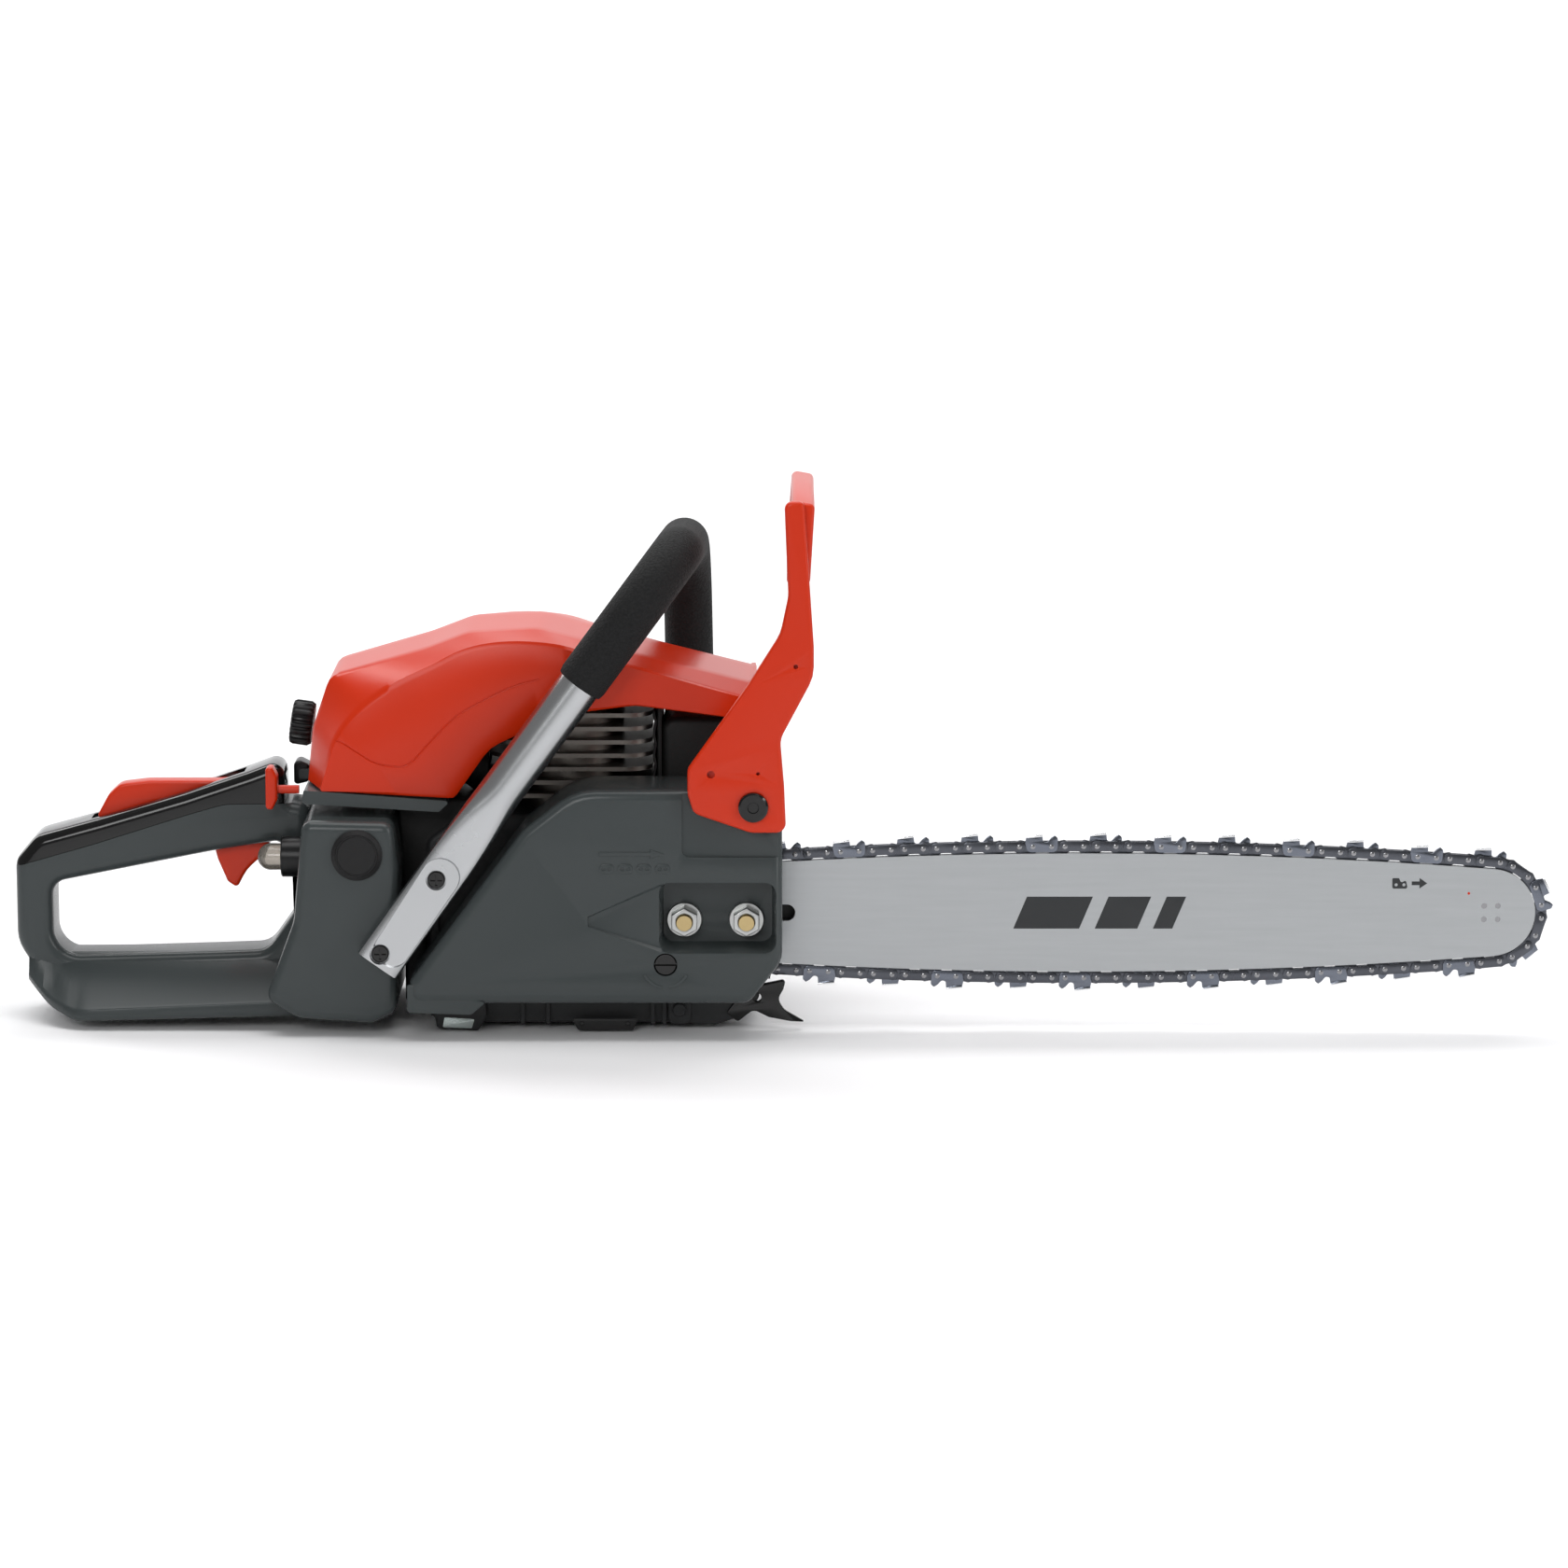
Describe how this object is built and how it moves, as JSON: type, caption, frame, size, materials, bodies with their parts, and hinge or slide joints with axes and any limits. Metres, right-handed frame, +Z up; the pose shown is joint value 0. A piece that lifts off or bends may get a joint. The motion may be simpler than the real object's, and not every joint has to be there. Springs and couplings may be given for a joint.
{
  "type": "chainsaw",
  "caption": "Petrol chainsaw with a two-handed frame, an orange hood and hand guard, grey casings, and a long guide bar carrying a full saw chain.",
  "frame": {"origin": "on the face that the saw rests on, in the guide bar's middle plane, between the bar's nuts and the crankshaft", "axes": "+X along the guide bar towards its tip, +Y to the starter side, +Z up"},
  "size_m": [0.7952, 0.2006, 0.279],
  "materials": {
    "orange_plastic": "glossy",
    "grey_plastic": "satin",
    "black_gloss": "glossy",
    "black_plastic": "satin",
    "black_rubber": "matte",
    "tube_aluminium": "satin",
    "case_black": "satin",
    "cast_alloy": "cast",
    "bar_steel": "satin",
    "nose_steel": "satin",
    "chain_steel": "oiled",
    "cutter_chrome": "plated",
    "rivet_steel": "bright",
    "dark_steel": "worked",
    "black_steel": "satin",
    "zinc_nut": "plated",
    "zinc_stud": "passivated",
    "bulb_clear": "smoky",
    "filter_cloth": "flocked",
    "rope_cord": "braided",
    "plate_metal": "satin"
  },
  "bodies": {
    "powerhead": {"top_cover": "orange_plastic", "rear_handle_tank": "grey_plastic", "clutch_cover": "grey_plastic", "filter_base": "grey_plastic", "starter_housing": "grey_plastic", "handle_top_shell": "black_gloss", "primer_ring": "black_plastic", "front_handle_grip": "black_rubber", "plug_boot": "black_rubber", "intake_boot": "black_rubber", "av_plug": "black_rubber", "front_handle_tube": "tube_aluminium", "crankcase": "case_black", "cylinder": "cast_alloy", "piston": "cast_alloy", "carburettor": "cast_alloy", "flywheel": "cast_alloy", "oil_pump": "cast_alloy", "chain_catcher": "cast_alloy", "crankshaft": "dark_steel", "connecting_rod": "dark_steel", "crank_bearings": "dark_steel", "clutch_shoes": "dark_steel", "brake_band": "dark_steel", "muffler": "dark_steel", "recoil_spring": "dark_steel", "av_springs": "dark_steel", "handle_pins": "dark_steel", "ignition_coil": "dark_steel", "spark_plug": "dark_steel", "bumper_spike": "black_steel", "handle_screws": "black_steel", "guard_pivot_bolt": "black_steel", "bar_nuts": "zinc_nut", "bar_studs": "zinc_stud", "air_filter": "filter_cloth", "starter_rope": "rope_cord", "rating_plate": "plate_metal"},
    "throttle_trigger": {"throttle_trigger": "orange_plastic"},
    "throttle_lock": {"throttle_lock": "orange_plastic"},
    "hand_guard": {"hand_guard": "orange_plastic"},
    "choke_knob": {"choke_knob": "orange_plastic"},
    "primer_bulb": {"primer_bulb": "bulb_clear"},
    "cover_knob": {"cover_knob": "black_plastic"},
    "clutch_drum": {"clutch_drum": "dark_steel"},
    "tension_screw": {"tension_screw": "black_steel"},
    "guide_bar": {"guide_bar": "bar_steel", "nose_rivets": "nose_steel", "tension_block": "dark_steel", "chain_drive_links": "chain_steel", "chain_tie_straps": "chain_steel", "chain_cutters_right": "cutter_chrome", "chain_cutters_left": "cutter_chrome", "chain_rivets": "rivet_steel"},
    "nose_sprocket": {"nose_sprocket": "nose_steel"},
    "starter_grip": {"starter_grip": "black_plastic"},
    "starter_pulley": {"starter_pulley": "black_plastic"},
    "fuel_cap": {"fuel_cap": "black_plastic"},
    "oil_cap": {"oil_cap": "black_plastic"},
    "stop_switch": {"stop_switch": "black_plastic"}
  },
  "joints": [
    {"name": "trigger_pull", "type": "hinge", "parent": "powerhead", "child": "throttle_trigger", "pos_m": [-0.179, 0.038, 0.098], "axis": [0, 1, 0], "range_deg": [0, 16], "stiffness_Nm_per_rad": 0.08, "springref_deg": -11.46},
    {"name": "lock_press", "type": "hinge", "parent": "powerhead", "child": "throttle_lock", "pos_m": [-0.19, 0.038, 0.118], "axis": [0, -1, 0], "range_deg": [0, 7], "stiffness_Nm_per_rad": 0.2, "springref_deg": -14.32},
    {"name": "guard_tilt", "type": "hinge", "parent": "powerhead", "child": "hand_guard", "pos_m": [0.0803, -0.0433, 0.1234], "axis": [0, 1, 0], "range_deg": [0, 12]},
    {"name": "choke_pull", "type": "slide", "parent": "powerhead", "child": "choke_knob", "axis": [-1, 0, 0], "range_m": [0, 0.012]},
    {"name": "bulb_press", "type": "slide", "parent": "powerhead", "child": "primer_bulb", "axis": [1, 0, 0], "range_m": [0, 0.003], "stiffness_N_per_m": 300},
    {"name": "knob_turn", "type": "hinge", "parent": "powerhead", "child": "cover_knob", "pos_m": [-0.1486, 0.04, 0.152], "axis": [-0.9903, 0, 0.1392], "range_deg": [0, 720]},
    {"name": "drum_spin", "type": "hinge", "parent": "powerhead", "child": "clutch_drum", "pos_m": [-0.014, 0, 0.0604], "axis": [0, 1, 0], "continuous": true},
    {"name": "tension_turn", "type": "hinge", "parent": "powerhead", "child": "tension_screw", "pos_m": [0.0355, -0.032, 0.0407], "axis": [0, -1, 0], "range_deg": [-720, 0]},
    {"name": "bar_slide", "type": "slide", "parent": "powerhead", "child": "guide_bar", "axis": [1, 0, 0], "range_m": [-0.002, 0]},
    {"name": "nose_spin", "type": "hinge", "parent": "guide_bar", "child": "nose_sprocket", "pos_m": [0.46008, 0, 0.0604], "axis": [0, 1, 0], "continuous": true},
    {"name": "starter_pull", "type": "slide", "parent": "powerhead", "child": "starter_grip", "axis": [0, 0, 1], "range_m": [0, 0.6], "stiffness_N_per_m": 8, "springref_m": -0.5, "deforming": ["starter_rope"]},
    {"name": "pulley_spin", "type": "hinge", "parent": "powerhead", "child": "starter_pulley", "pos_m": [-0.014, 0.1125, 0.0604], "axis": [0, 1, 0], "range_deg": [0, 1150]},
    {"name": "fuel_cap_turn", "type": "hinge", "parent": "powerhead", "child": "fuel_cap", "pos_m": [-0.138, 0.104, 0.062], "axis": [0, 1, 0], "range_deg": [0, 90]},
    {"name": "oil_cap_turn", "type": "hinge", "parent": "powerhead", "child": "oil_cap", "pos_m": [0.067, 0.078, 0.034], "axis": [0, 1, 0], "range_deg": [0, 90]},
    {"name": "switch_tilt", "type": "hinge", "parent": "powerhead", "child": "stop_switch", "pos_m": [-0.156, 0.067, 0.1225], "axis": [0, 1, 0], "range_deg": [-10, 10]}
  ],
  "couplings": [
    {"joint": "tension_turn", "follows": "bar_slide", "rad_per_m": 6283.2},
    {"joint": "nose_spin", "follows": "drum_spin", "ratio": 0.7},
    {"joint": "pulley_spin", "follows": "starter_pull", "rad_per_m": 33.333}
  ]
}
